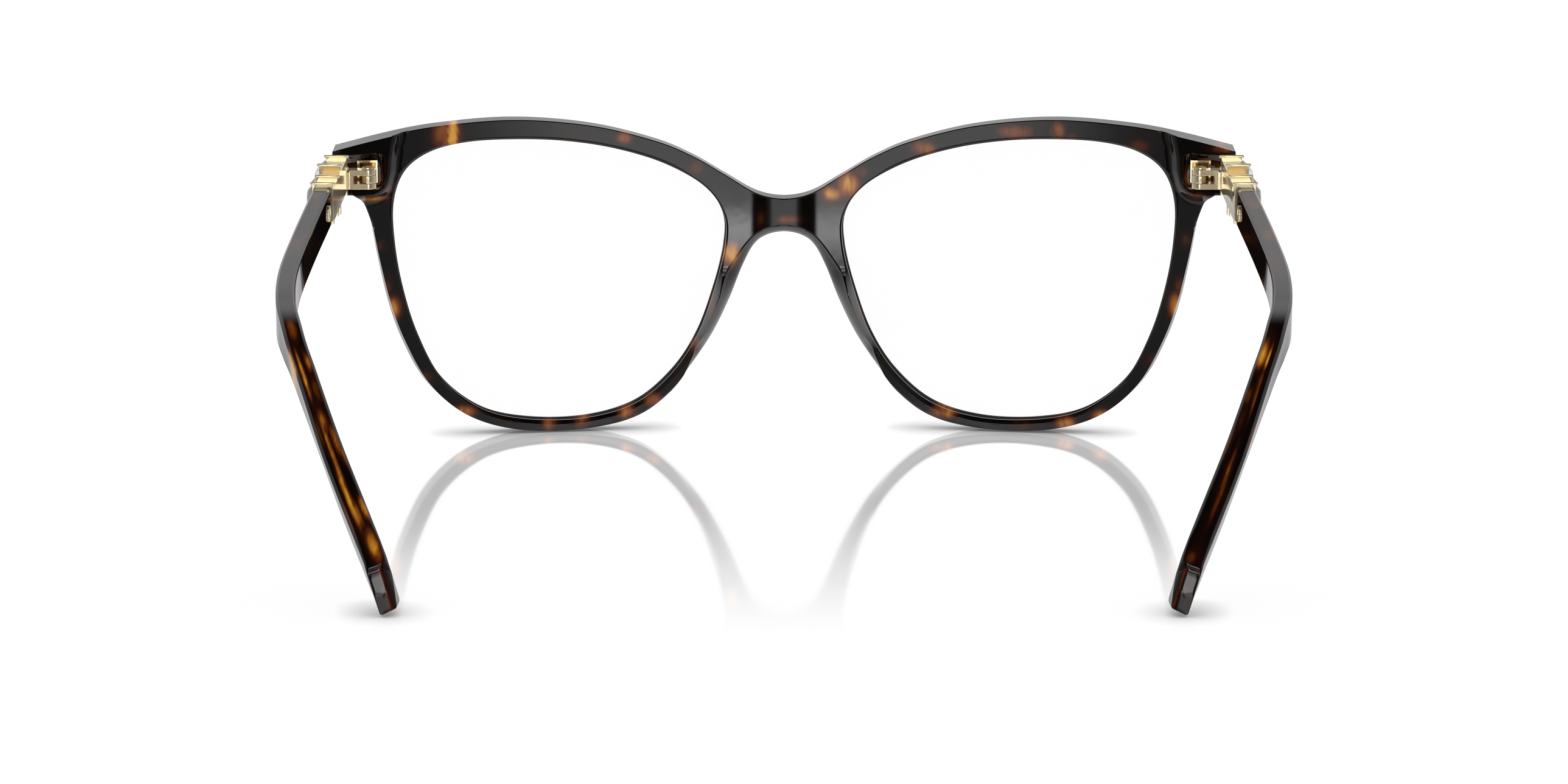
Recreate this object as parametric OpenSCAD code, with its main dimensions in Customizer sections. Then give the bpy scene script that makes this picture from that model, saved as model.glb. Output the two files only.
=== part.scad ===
// Full-rim acetate eyeglasses frame with gold temple roots and clear step-cut stones.
// Millimetres, +Z up. The front faces +Y and the wearer's left side is at -X.
// The frame stands open on its two rims and its two temple tips, and the origin
// lies on the floor under the middle of its box.

/* [Front] */
// Thickness of the bent acetate front
front_t = 4; // [3.6:0.1:4.2]
// Angle of each lens plane to the face
face_form = 8; // [7.5:0.25:8.5]
// Outer radius of the bend at the bridge
bridge_r = 92; // [85:1:100]
// Outer radius of the bend along each lens
lens_r = 620; // [500:10:800]
// Acetate left in front of the hinge pocket
pocket_skin = 1.7; // [1.5:0.1:2]

/* [Lenses] */
// Thickness of the demo lenses
lens_t = 2; // [1.6:0.1:2.2]
// Depth of the lens groove in the rim
groove_depth = 0.7; // [0.5:0.1:0.8]

/* [Nose pads] */
// How far the pads stand out behind the rims
pad_rise = 3; // [2:0.1:3.6]

/* [Hinges] */
// Diameter of the hinge knuckles
knuckle_d = 2.6; // [2.4:0.1:2.7]
// Height of the upper and lower knuckle
knuckle_h = 0.85; // [0.8:0.05:0.9]
// Height of the middle knuckle
middle_h = 1.2; // [1.1:0.05:1.3]
// Diameter of the screw's shank
screw_d = 1.2; // [1:0.1:1.4]
// Diameter of the screw's head
screw_head_d = 1.9; // [1.6:0.1:2.1]

/* [Temple roots] */
// Width of the beads on top of the fins
bead_w = 3.45; // [3.3:0.05:3.7]
// Diameter of the beads
bead_d = 0.46; // [0.4:0.02:0.6]
// Thickness of one fin
fin_t = 1; // [0.8:0.1:1.2]
// How far the stones stand out beyond the fins
stone_rise = 1.3; // [0.8:0.1:1.6]

/* [Temples] */
// Thickness of the acetate temple
temple_t = 2.9; // [2.7:0.1:3.1]
// Height of the temple behind the root
temple_h = 5.8; // [5.4:0.1:6.2]
// Height of the paddle at the tip
tip_h = 7.4; // [7.2:0.1:7.6]
// Diameter of the metal core
core_d = 1.4; // [1.2:0.1:1.5]
// Diameter of the rivet's head
rivet_head_d = 2.5; // [2:0.1:2.8]

/* [Hidden] */
$fn = 48;

acetate = "#33211a";
gold = "#dcc692";
clear = [0.85, 0.93, 0.97, 0.35];
steel = "#c9b98f";

// Small clearances: seated pieces, and faces that run past each other
seat_gap = 0.05;
run_gap = 0.05;
tall = 70;
curve_steps = 4;

// Back of the bridge, measured from the middle of the footprint
bridge_y = 65.77;

// Lens opening of the right rim in its lens plane: [out from the middle, up from the floor]
lens_points = [
  [42, 46.6], [49.5, 46.35], [55.3, 45], [59.3, 42.1], [61.1, 37.3], [61, 31],
  [59.8, 23.8], [57.5, 16.2], [53.7, 9], [47.5, 4], [40, 2.1], [31, 2.1],
  [23.2, 4.3], [17.4, 9.1], [13.5, 15], [10.9, 22], [9.2, 28.8], [9.3, 34],
  [12.4, 38.6], [18.7, 42.3], [26.4, 44.8], [34.2, 46.15]
];
// Upper edge of the front from the bridge to the end piece, in the same plane
brow_points = [
  [-4, 37.3], [-0.4, 36.5], [4, 37.3], [9, 40.3], [14, 43.3], [20, 45.9],
  [30, 48.5], [42, 49.7], [54, 49.05], [63, 47.6], [72.5, 45.6]
];
// Lower edge from the end piece round the rim to the arch of the bridge
rim_points = [
  [67.6, 39.2], [65.9, 37.4], [64.8, 34], [63.6, 28], [61.9, 21], [59.7, 15], [56.2, 8.5],
  [51, 3.6], [44.5, 0.9], [36.5, 0], [28.5, 0.7], [22.2, 2.7], [17.3, 6.5],
  [13.4, 11], [10.5, 15.6], [8.2, 20.4], [6.3, 25.3], [4.5, 28.8], [2.5, 30.3],
  [-0.2, 30.8], [-2.9, 30.3]
];
endpiece_foot = 39.2;
// Outer end of the end pieces, cut square to the face
endpiece_end = 69.75;

// Where the bend of the bridge runs into the bend of the lens, from the middle
bridge_angle = 6;
bridge_centre = [0, front_t - bridge_r];
bridge_dir = [sin(bridge_angle), cos(bridge_angle)];
lens_centre = bridge_centre + (bridge_r - lens_r) * bridge_dir;
// Turns at which the bend is drawn, from just over the middle to past the end piece
bend_angles = [for (a = [-3:1.5:bridge_angle - 0.1]) a, for (a = [bridge_angle:0.75:13.5]) a];

// Hinge pocket and end piece in the lens plane, depth positive to the front
endpiece_start = [54, 0.6];
endpiece_back = [72, -3.85];
pocket_side = 62.6;
pocket_low = 39.75;
pocket_high = 45.3;
pocket_corner = 1.2;
pocket_floor = front_t - pocket_skin;
hinge_in_plane = [65.3, -2.1];
plate_w = 3.2;
plate_h = 3.6;
plate_t = 0.8;
plate_border = 0.4;
tenon = [2.2, 0.9, 2.4];

// Hinge axis of the right temple
hinge_x = hinge_in_plane[0] * cos(face_form) + hinge_in_plane[1] * sin(face_form);
hinge_y = bridge_y - hinge_in_plane[0] * sin(face_form) + hinge_in_plane[1] * cos(face_form);
hinge_z = 41.5;
screw_head_h = 0.35;
screw_slot = 0.25;
// The fork and its slot: total height, slot's end from the axis, and width of the solid end
fork_h = middle_h + 2 * knuckle_h + 2 * run_gap;
fork_slot = 2.15;
fork_end = 1.45;
// Middle knuckle: barrel round the screw, and how far its flat side lies out from the axis
barrel_d = 1.9;
tongue_side = 0.45;

// Root of the temple: place of its inner top frame, and its slope and splay
root_at = [hinge_x + 2.8, hinge_y - 2.7, 42.75];
root_slope = 6.2;
root_splay = 3;
root_inner = 0.2;
root_outer = 3.2;
root_low = -2.5;
root_high = 2.5;
root_len = 18.7;
// Leaf of the fork on the front end of the root: [width, depth, height], and its inner lower corner
leaf = [2.4, 1.7, 2.75];
leaf_at = [-0.05, 0, -2.6];
// Ball of solder on the inner face of the root
solder_at = [0.15, -1.35, 1.2];
solder_d = 0.6;
// Each fin: [how far back, foot, top]
fins = [[0.5, -3.3, 3.05], [9.4, -3.9, 4.1], [12.4, -3.3, 3.15], [18.2, -2.9, 3.6]];
fin_outer = 3.35;
// Each stone: [how far back, length, height, up from the root's middle]
stones = [[4.95, 7.2, 5.2, 0.2], [10.9, 1.8, 5, 0.15], [15.3, 4.5, 4.8, 0.15]];
// Rings of a stone from the point to the table: [out from the girdle, share of the outline]
stone_rings = [[-1.5, 0.15], [-0.8, 0.62], [0, 1], [0.2, 1], [0.85, 0.84], [1.45, 0.58]];
stone_girdle = 3.15;
stone_full_rise = 1.45;
stone_corner = 0.28;
tang = [1.2, 7, 2.6];
temple_mid = 1.85;
rivet_back = 22.7;
rivet_up = -0.1;
rivet_d = 1.2;
rivet_head_h = 0.35;
rivet_proud = 0.2;
rivet_dish_d = 1.6;

// Middle line of the right temple: [out from the hinge axis, back from it, up from the floor]
temple_points = [
  [7, 44, 37.9], [7.7, 63, 35.7], [7.1, 77, 33.8], [5.6, 86, 31.9], [3.2, 92.5, 27.4],
  [-2.1, 105, 16.9], [-7.8, 117.5, 6.5], [-9.2, 120.6, tip_h / 2 + 0.07]
];
temple_chamfer = 0.5;
// Turns of the rounded end of the tip
tip_turns = [22, 44, 64, 80];
// Sections of the temple between which the metal core follows its middle line
core_first = 2;
core_last = 27;

// Nose pad of the right rim: [height, nose edge, lens edge, share of the rise]
pad_stations = [
  [25, 6.8, 9.3, 0.1], [22.5, 7.9, 10.1, 0.55], [19.5, 9.2, 11.1, 0.95],
  [16, 10.9, 12.4, 1], [13, 12.6, 13.9, 0.65], [10.8, 14, 15.3, 0.12]
];
pad_root = 1.6;
pad_base = 0.75;

// Point at share t between b and c on a smooth curve through a, b, c and d
function curve_point(a, b, c, d, t) =
  0.5 * (2 * b + (c - a) * t + (2 * a - 5 * b + 4 * c - d) * t * t + (3 * b - a - 3 * c + d) * t * t * t);

// Smooth closed loop through points p
function loop_curve(p) =
  let (m = len(p))
  [for (i = [0:m - 1]) for (j = [0:curve_steps - 1])
    curve_point(p[(i + m - 1) % m], p[i], p[(i + 1) % m], p[(i + 2) % m], j / curve_steps)];

// Smooth open curve through points p
function open_curve(p) =
  let (m = len(p))
  concat(
    [for (i = [0:m - 2]) for (j = [0:curve_steps - 1])
      curve_point(p[max(i - 1, 0)], p[i], p[i + 1], p[min(i + 2, m - 1)], j / curve_steps)],
    [p[m - 1]]
  );

function unit(v) = v / norm(v);

// Point of the bent front at turn a, at depth d behind the front face
function bend_point(a, d) =
  a < bridge_angle
    ? bridge_centre + (bridge_r - d) * [sin(a), cos(a)]
    : lens_centre + (lens_r - d) * [sin(a), cos(a)];

// Clockwise loop p moved outwards by d
function grown(p, d) =
  let (m = len(p))
  [for (i = [0:m - 1])
    let (t = unit(p[(i + 1) % m] - p[(i + m - 1) % m]))
    p[i] + d * [-t[1], t[0]]];

lens_loop = loop_curve(lens_points);
front_loop = concat(
  open_curve(brow_points),
  [[brow_points[len(brow_points) - 1][0], endpiece_foot]],
  open_curve(rim_points)
);

// Faces of a closed tube made of rings with equal sides
function tube_faces(rings, sides) = concat(
  [[for (j = [sides - 1:-1:0]) j]],
  [for (i = [0:rings - 2]) for (j = [0:sides - 1])
    [i * sides + j, i * sides + (j + 1) % sides, (i + 1) * sides + (j + 1) % sides]],
  [for (i = [0:rings - 2]) for (j = [0:sides - 1])
    [i * sides + j, (i + 1) * sides + (j + 1) % sides, (i + 1) * sides + j]],
  [[for (j = [0:sides - 1]) (rings - 1) * sides + j]]
);

// Direction of path p at point i, and the side and up directions of a section there
function along(p, i) = unit(p[min(i + 1, len(p) - 1)] - p[max(i - 1, 0)]);
function up_of(t) = unit(cross(t, [1, 0, 0]));
function side_of(t) = cross(t, up_of(t));

// Eight-sided section with cut corners, a to the side and b up
function section(at, t, a, b, cut) =
  [for (c = [[a, b - cut], [a - cut, b], [cut - a, b], [-a, b - cut],
             [-a, cut - b], [cut - a, -b], [a - cut, -b], [a, cut - b]])
    at + c[0] * side_of(t) + c[1] * up_of(t)];

// Round section with eight sides
function round_section(at, t, r) =
  [for (j = [0:7]) at + r * (cos(22.5 + 45 * j) * side_of(t) + sin(22.5 + 45 * j) * up_of(t))];

// Place in the part's frame of a point of the temple root: [out, back, up]
function from_root(p) =
  let (y = -p[1] * cos(root_slope) - p[2] * sin(root_slope))
  root_at + [
    p[0] * cos(root_splay) - y * sin(root_splay),
    p[0] * sin(root_splay) + y * cos(root_splay),
    -p[1] * sin(root_slope) + p[2] * cos(root_slope)
  ];

temple_path = open_curve(concat(
  [from_root([temple_mid, root_len + 0.15, -0.1])],
  [for (p = temple_points) [hinge_x + p[0], hinge_y - p[1], p[2]]]
));
temple_last = len(temple_path) - 1;

// Half height of the temple at section i: even along the shank, wider towards the tip
function temple_half(i) =
  let (s = max(0, (i - temple_last * 0.45) / (temple_last * 0.55)))
  (temple_h + (tip_h - temple_h) * s * s * (3 - 2 * s)) / 2;

module left() {
  mirror([1, 0, 0]) children();
}

// Frame of the right lens plane: X out along it, Y through it, Z up
module in_lens_plane() {
  translate([0, bridge_y, 0]) rotate([0, 0, -face_form]) children();
}

// Flat shape of the lens plane carried straight through it from depth low to depth high
module through_plane(low, high) {
  in_lens_plane() translate([0, high, 0]) rotate([90, 0, 0]) linear_extrude(high - low) children();
}

module in_root() {
  translate(root_at) rotate([root_slope, 0, root_splay]) children();
}

// Bent layer of the right half of the front between two depths behind its front face
module bent_layer(near, far) {
  translate([0, bridge_y, -5]) linear_extrude(tall) polygon(concat(
    [for (a = bend_angles) bend_point(a, near)],
    [for (i = [len(bend_angles) - 1:-1:0]) bend_point(bend_angles[i], far)]
  ));
}

// Half of the front, from the middle of the bridge to the right end piece
module front_half() {
  difference() {
    union() {
      intersection() {
        through_plane(-12, 12) polygon(front_loop);
        bent_layer(0, front_t);
        half_block();
      }
      endpiece();
    }
    through_plane(-12, 12) polygon(lens_loop);
    lens_groove();
    hinge_pocket();
  }
}

// Everything from the middle to the cut end of the right end piece
module half_block() {
  translate([-0.01, -tall / 2, -5]) cube([endpiece_end + 0.01, tall * 2, tall]);
}

// Thick end piece, whose back slopes away from the rim
module endpiece() {
  intersection() {
    through_plane(-12, 12) polygon(front_loop);
    through_plane(-12, 12) polygon([
      [endpiece_start[0], 60], [endpiece_start[0], 47.3], [58.5, 46.6], [60.8, 44.8], [61.4, 42],
      [61.8, 40.4], [63, 39.2], [65, 38.8], [80, 38.8], [80, 60]
    ]);
    in_lens_plane() translate([0, 0, 20]) linear_extrude(tall) polygon([
      [endpiece_start[0], 3], endpiece_start, endpiece_back, [endpiece_back[0], 3]
    ]);
    half_block();
  }
}

module lens_groove() {
  intersection() {
    through_plane(-12, 12) polygon(grown(lens_loop, groove_depth));
    bent_layer((front_t - lens_t) / 2 - seat_gap, (front_t + lens_t) / 2 + seat_gap);
  }
}

// Milled pocket for the hinge, open to the back and to the outer end
module hinge_pocket() {
  through_plane(-12, pocket_floor) {
    translate([pocket_side + pocket_corner, pocket_low])
      square([20, pocket_high - pocket_low]);
    translate([pocket_side, pocket_low + pocket_corner])
      square([20, pocket_high - pocket_low - 2 * pocket_corner]);
    for (z = [pocket_low + pocket_corner, pocket_high - pocket_corner]) {
      translate([pocket_side + pocket_corner, z]) circle(pocket_corner);
    }
  }
  in_lens_plane() translate([plate_mid(), pocket_floor, hinge_z])
    tenon_block(seat_gap);
}

function plate_mid() = hinge_in_plane[0] - 0.2;

// Tenon that holds the hinge plate in the acetate
module tenon_block(gap) {
  translate([-tenon[0] / 2 - gap, -0.01, -tenon[2] / 2 - gap])
    cube([tenon[0] + 2 * gap, tenon[1] + 0.01 + gap, tenon[2] + 2 * gap]);
}

module front_frame() {
  color(acetate) {
    front_half();
    left() front_half();
  }
}

// Wedge-shaped pad that rests on the nose, seated on the back of the rim
module nose_pad() {
  rings = [for (s = pad_stations)
    let (rise = pad_base - pad_rise * s[3])
    each [
      [s[1], pad_base + pad_root, s[0]], [s[1], pad_base - 0.1, s[0]],
      [s[2] - 0.9, rise, s[0]], [s[2] - 0.3, rise + 0.1, s[0]],
      [s[2], pad_base - 0.1, s[0]], [s[2], pad_base + pad_root, s[0]]
    ]];
  color(acetate) difference() {
    in_lens_plane() polyhedron(rings, tube_faces(len(pad_stations), 6));
    bent_layer(-3, front_t);
  }
}

module lens() {
  color(clear) intersection() {
    through_plane(-12, 12) polygon(grown(lens_loop, groove_depth - seat_gap));
    bent_layer((front_t - lens_t) / 2, (front_t + lens_t) / 2);
  }
}

// Front leaf of the hinge: bordered plate, tenon and the middle knuckle
module hinge_plate() {
  color(gold) difference() {
    union() {
      in_lens_plane() translate([plate_mid(), pocket_floor, hinge_z + 0.5]) {
        difference() {
          translate([-plate_w / 2, -plate_t, -plate_h / 2]) cube([plate_w, plate_t, plate_h]);
          translate([plate_border - plate_w / 2, -plate_t - 0.01, plate_border - plate_h / 2])
            cube([plate_w - 2 * plate_border, 0.31, plate_h - 2 * plate_border]);
        }
        translate([0, 0, -0.5]) tenon_block(0);
      }
      in_lens_plane() translate([hinge_in_plane[0], hinge_in_plane[1], hinge_z - middle_h / 2]) {
        cylinder(d = barrel_d, h = middle_h);
        translate([-knuckle_d / 2, 0, 0])
          cube([knuckle_d / 2 + tongue_side, pocket_floor - hinge_in_plane[1] - 0.1, middle_h]);
        intersection() {
          cylinder(d = knuckle_d, h = middle_h);
          translate([-knuckle_d, -knuckle_d, 0]) cube([knuckle_d + tongue_side, 2 * knuckle_d, middle_h]);
        }
      }
    }
    translate([hinge_x, hinge_y, hinge_z - middle_h])
      cylinder(d = screw_d + 2 * run_gap, h = 2 * middle_h);
  }
}

// Temple leaf of the hinge: slotted fork with two knuckles and the leaf on the end of the root
module hinge_fork() {
  color(gold) difference() {
    union() {
      for (z = [-fork_h / 2, fork_h / 2 - knuckle_h]) {
        translate([hinge_x, hinge_y, hinge_z + z]) {
          cylinder(d = knuckle_d, h = knuckle_h);
          translate([0, -knuckle_d / 2, 0]) cube([fork_slot + 0.5, knuckle_d, knuckle_h]);
        }
      }
      translate([hinge_x + fork_slot, hinge_y - knuckle_d / 2, hinge_z - fork_h / 2])
        cube([fork_end, knuckle_d, fork_h]);
      in_root() translate(leaf_at) cube(leaf);
    }
    translate([hinge_x, hinge_y, hinge_z - fork_h])
      cylinder(d = screw_d + run_gap, h = 2 * fork_h);
  }
}

// Slotted screw that turns with the temple
module hinge_screw() {
  color(steel) translate([hinge_x, hinge_y, hinge_z - fork_h / 2]) difference() {
    union() {
      cylinder(d = screw_d, h = fork_h + 0.02);
      translate([0, 0, fork_h + 0.01]) cylinder(d = screw_head_d, h = screw_head_h);
    }
    translate([-screw_head_d, -screw_slot / 2, fork_h + screw_head_h - 0.14])
      cube([2 * screw_head_d, screw_slot, 1]);
  }
}

// Fin across the root with a bead along its top and a narrowing foot
module fin(foot, top) {
  neck = top - bead_d / 2;
  translate([0, fin_t / 2, 0]) rotate([90, 0, 0]) linear_extrude(fin_t) polygon([
    [root_inner, foot], [root_inner, neck], [fin_outer, neck], [fin_outer, -1.2], [2.2, foot]
  ]);
  translate([(root_inner + fin_outer - bead_w) / 2, 0, neck]) rotate([0, 90, 0]) {
    cylinder(d = bead_d, h = bead_w);
    sphere(d = bead_d);
    translate([0, 0, bead_w]) sphere(d = bead_d);
  }
}

// Gold root of the temple: fins, stone seats and the tang that enters the acetate
module setting() {
  color(gold) in_root() difference() {
    union() {
      translate([root_inner, -root_len, root_low])
        cube([root_outer - root_inner, root_len, root_high - root_low]);
      for (f = fins) {
        translate([0, -f[0], 0]) fin(f[1], f[2]);
      }
      translate([temple_mid - tang[0] / 2, -root_len - tang[1], -tang[2] / 2])
        cube([tang[0], tang[1] + 1, tang[2]]);
      translate(solder_at) sphere(d = solder_d);
    }
    for (s = stones) {
      stone_shape(s, seat_gap);
    }
    translate([0, -rivet_back, rivet_up]) rotate([0, 90, 0]) cylinder(d = rivet_d + run_gap, h = 5);
  }
}

// Step-cut stone with cut corners, point inwards, grown by gap for its seat
module stone_shape(s, gap) {
  rings = [for (r = stone_rings)
    let (
      a = s[1] / 2 * r[1] + gap,
      b = s[2] / 2 * r[1] + gap,
      cut = stone_corner * min(s[1], s[2]) * r[1],
      x = stone_girdle + (r[0] > 0.2 ? r[0] * stone_rise / stone_full_rise : r[0]) - (r[0] < 0 ? gap : 0)
    )
    each [for (c = [[a, b - cut], [a - cut, b], [cut - a, b], [-a, b - cut],
                    [-a, cut - b], [cut - a, -b], [a - cut, -b], [a, cut - b]])
      [x, -c[0] - s[0], c[1] + s[3]]]];
  polyhedron(rings, tube_faces(len(stone_rings), 8));
}

module crystal(i) {
  color(clear) in_root() stone_shape(stones[i], 0);
}

// Acetate temple with its slot for the tang, rivet hole and core channel
module temple_arm() {
  t_end = along(temple_path, temple_last);
  shank = [for (i = [0:temple_last])
    each section(temple_path[i], along(temple_path, i), temple_t / 2, temple_half(i), temple_chamfer)];
  tip = [for (a = tip_turns)
    let (b = tip_h / 2 * cos(a))
    each section(temple_path[temple_last] + tip_h / 2 * sin(a) * t_end, t_end,
      temple_t / 2 * (1 - 0.25 * sin(a) * sin(a)), b, min(temple_chamfer, b * 0.6))];
  color(acetate) difference() {
    polyhedron(concat(shank, tip), tube_faces(temple_last + 1 + len(tip_turns), 8));
    in_root() {
      translate([temple_mid - tang[0] / 2, -root_len - tang[1], -tang[2] / 2] - seat_gap * [1, 1, 1])
        cube([tang[0] + 2 * seat_gap, tang[1] + 2, tang[2] + 2 * seat_gap]);
      translate([-3, -rivet_back, rivet_up]) rotate([0, 90, 0]) cylinder(d = rivet_d + run_gap, h = 5.6);
      translate([-3, -rivet_back, rivet_up]) rotate([0, 90, 0])
        cylinder(d = rivet_head_d + 2 * seat_gap, h = 3 + rivet_seat());
    }
    core_shape(core_d / 2 + seat_gap, root_len + tang[1] - 0.5);
  }
}

// Depth of the rivet head's seat, out from the root's inner frame
function rivet_seat() = temple_mid - temple_t / 2 + rivet_head_h - rivet_proud;

// Core along the middle line, starting at a place behind the root's front
module core_shape(r, start) {
  path = concat(
    [from_root([temple_mid, start, -0.1])],
    [for (i = [core_first:core_last]) temple_path[i]]
  );
  polyhedron(
    [for (i = [0:len(path) - 1]) each round_section(path[i], along(path, i), r)],
    tube_faces(len(path), 8)
  );
}

module core_wire() {
  color(steel) core_shape(core_d / 2, root_len + tang[1] + 2 * seat_gap);
}

// Rivet with a dished head that stands a little proud of the temple's inner face
module rivet() {
  color(gold) in_root() translate([rivet_seat() - rivet_head_h, -rivet_back, rivet_up]) rotate([0, 90, 0])
    difference() {
      union() {
        cylinder(d = rivet_head_d, h = rivet_head_h - 0.01);
        cylinder(d = rivet_d, h = 2);
      }
      translate([0, 0, -0.01]) cylinder(d = rivet_dish_d, h = 0.16);
    }
}

front_frame();
left() nose_pad();  // nose_pad_left
nose_pad();  // nose_pad_right
left() lens();  // lens_left
lens();  // lens_right
left() hinge_plate();  // hinge_plate_left
hinge_plate();  // hinge_plate_right
left() hinge_fork();  // hinge_fork_left
hinge_fork();  // hinge_fork_right
left() hinge_screw();  // hinge_screw_left
hinge_screw();  // hinge_screw_right
left() setting();  // setting_left
setting();  // setting_right
left() crystal(0);  // crystal_front_left
crystal(0);  // crystal_front_right
left() crystal(1);  // crystal_middle_left
crystal(1);  // crystal_middle_right
left() crystal(2);  // crystal_rear_left
crystal(2);  // crystal_rear_right
left() temple_arm();  // temple_arm_left
temple_arm();  // temple_arm_right
left() core_wire();  // core_wire_left
core_wire();  // core_wire_right
left() rivet();  // rivet_left
rivet();  // rivet_right
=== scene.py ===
"""Looks of a dark tortoise eyeglasses frame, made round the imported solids.

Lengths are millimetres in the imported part's frame and become metres when a mesh is made.
The right half is worked out first and the left half is its mirror image.
"""

import math

import bmesh
import bpy
import numpy as np
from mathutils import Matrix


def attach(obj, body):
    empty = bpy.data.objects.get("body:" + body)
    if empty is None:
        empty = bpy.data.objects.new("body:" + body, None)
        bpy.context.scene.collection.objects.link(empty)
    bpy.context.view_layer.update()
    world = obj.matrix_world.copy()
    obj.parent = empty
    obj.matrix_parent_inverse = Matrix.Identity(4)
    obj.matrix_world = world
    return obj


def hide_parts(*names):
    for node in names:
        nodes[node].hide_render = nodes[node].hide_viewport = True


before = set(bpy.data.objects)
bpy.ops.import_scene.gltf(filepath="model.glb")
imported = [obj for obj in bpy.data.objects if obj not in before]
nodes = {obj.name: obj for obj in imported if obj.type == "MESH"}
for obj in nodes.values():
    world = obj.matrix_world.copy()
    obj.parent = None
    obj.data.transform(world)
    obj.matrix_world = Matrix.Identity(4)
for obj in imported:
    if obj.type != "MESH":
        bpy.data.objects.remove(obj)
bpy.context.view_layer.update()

MM = 0.001
# Front sheet: thickness, turn of each lens plane, radii of the bend, the turn where they meet, and
# the back of the bridge on the middle plane
FRONT_T = 4.0
FACE_FORM = math.radians(8)
BRIDGE_R = 92.0
LENS_R = 620.0
BRIDGE_TURN = math.radians(6)
BRIDGE_Y = 65.77
# Widths of the polished edges on rims, brow and lens openings
EDGE_ROUND = 0.3
BROW_ROUND = 0.14
LENS_EDGE_ROUND = 0.56
# How far the outer wall of the rims leans
RIM_DRAFT = 0.22
# Nose pads: how far they stand out, and the heights between which they rise at the top and the foot
PAD_RISE = 2.9
PAD_TOP, PAD_FOOT = (25.2, 21.2), (12.6, 16.0)
# Lens groove: how deep it is cut, and the depths of its walls behind the front face
GROOVE = 0.62
GROOVE_WALLS = [0.98, 1.0, 3.0, 3.02]
# Back plane of the thick end pieces: where it starts, its depth there, and its slope
ENDPIECE_START, ENDPIECE_DEPTH, ENDPIECE_SLOPE = 54, 0.6, 0.2472
# Wall round the end pieces: width, how much wider at the brow, and share of the step beside it
WALL_WIDTH, WALL_WIDEN, WALL_STEP = 1.75, 0.5, 0.2
# Hinge pocket: lower, upper and inner side, radius of its corners, and how far its outline runs out
POCKET_LOW, POCKET_HIGH, POCKET_SIDE = 39.7, 45.3, 62.6
POCKET_R, POCKET_END = 1.2, 76
# Hinge axis of the right side
HINGE = np.array([64.3722, 54.6024, 41.5])

# Flat pattern of the right half: [out from the middle along the lens plane, up from the floor]
LENS_POINTS = [
    (42, 46.6), (49.5, 46.35), (55.3, 45), (59.3, 42.1), (61.1, 37.3), (61, 31),
    (59.8, 23.8), (57.5, 16.2), (53.7, 9), (47.5, 4), (40, 2.1), (31, 2.1),
    (23.2, 4.3), (17.4, 9.1), (13.5, 15), (10.9, 22), (9.2, 28.8), (9.3, 34),
    (12.4, 38.6), (18.7, 42.3), (26.4, 44.8), (34.2, 46.15),
]
BROW_POINTS = [
    (-4, 37.3), (-0.4, 36.5), (4, 37.3), (9, 40.3), (14, 43.3), (20, 45.9),
    (30, 48.5), (42, 49.7), (54, 49.05), (63, 47.6), (69.7, 46.2),
]
END_POINTS = [(70.2, 46.02), (70.45, 45.6), (70.45, 39.7), (70.3, 39.3), (69.9, 39.2)]
RIM_POINTS = [
    (67.6, 39.2), (65.9, 37.4), (64.8, 34), (63.6, 28), (61.9, 21), (59.7, 15), (56.2, 8.5),
    (51, 3.6), (44.5, 0.9), (36.5, 0), (28.5, 0.7), (22.2, 2.7), (17.3, 6.5),
    (13.4, 11), (10.5, 15.6), (8.2, 20.4), (6.3, 25.3), (4.5, 28.8), (2.5, 30.3),
    (-0.2, 30.8), (-2.9, 30.3),
]
# Places on the outer edge, and those on the lens edge that face them across the rim
OUTER_PLACES = [
    (0, 36.5), BROW_POINTS[3], *BROW_POINTS[5:10], *END_POINTS[1:3], RIM_POINTS[0],
    *RIM_POINTS[2:19], (0, 30.8),
]
LENS_PLACES = [
    (10.2, 36.2), (13.4, 39.4), (21.4, 43.4), (30.6, 45.6), (42, 46.6), (52.6, 45.8),
    (57.4, 44), (59.8, 41.4), (60.8, 39), (61, 37.9), (61.2, 34.6), (60.6, 28.4),
    (59.2, 21.6), (57.3, 15.8), (54.1, 9.6), (49.4, 5.2), (43.8, 2.9), (36.4, 2),
    (29.2, 2.4), (23.6, 4.1), (19, 7.6), (15.7, 11.6), (13, 16.2), (11.2, 21),
    (9.9, 25.4), (9.2, 28.8), (9.05, 30.6), (9.05, 31.8),
]


def smooth_curve(points, closed=False, steps=20):
    """Cubic curve through the points, each span shaped by its two neighbours on either side."""
    p = np.asarray(points, float)
    q = np.vstack([p[-1:], p, p[:2]]) if closed else np.vstack([p[:1], p, p[-1:]])
    a, b, c, d = q[:-3, None], q[1:-2, None], q[2:-1, None], q[3:, None]
    t = (np.arange(steps) / steps)[None, :, None]
    square, cube = 2 * a - 5 * b + 4 * c - d, 3 * b - a - 3 * c + d
    curve = 0.5 * (2 * b + (c - a) * t + square * t**2 + cube * t**3)
    curve = curve.reshape(-1, p.shape[1])
    return curve if closed else np.vstack([curve, p[-1:]])


def run_of(curve):
    """Length along a curve at each of its points."""
    return np.concatenate([[0], np.cumsum(np.linalg.norm(np.diff(curve, axis=0), axis=1))])


def at_run(curve, run, where):
    """Points of a curve at given lengths along it."""
    return np.stack([np.interp(where, run, curve[:, k]) for k in range(curve.shape[1])], 1)


def nearest_run(curve, run, place):
    """Length along a curve at its sample nearest to a place."""
    return run[np.argmin(np.linalg.norm(curve - np.asarray(place, float), axis=1))]


def ease(low, high, value):
    """Smooth step from 0 at low to 1 at high: 3t^2 - 2t^3."""
    t = np.clip((np.asarray(value, float) - low) / (high - low), 0, 1)
    return t * t * (3 - 2 * t)


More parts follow.
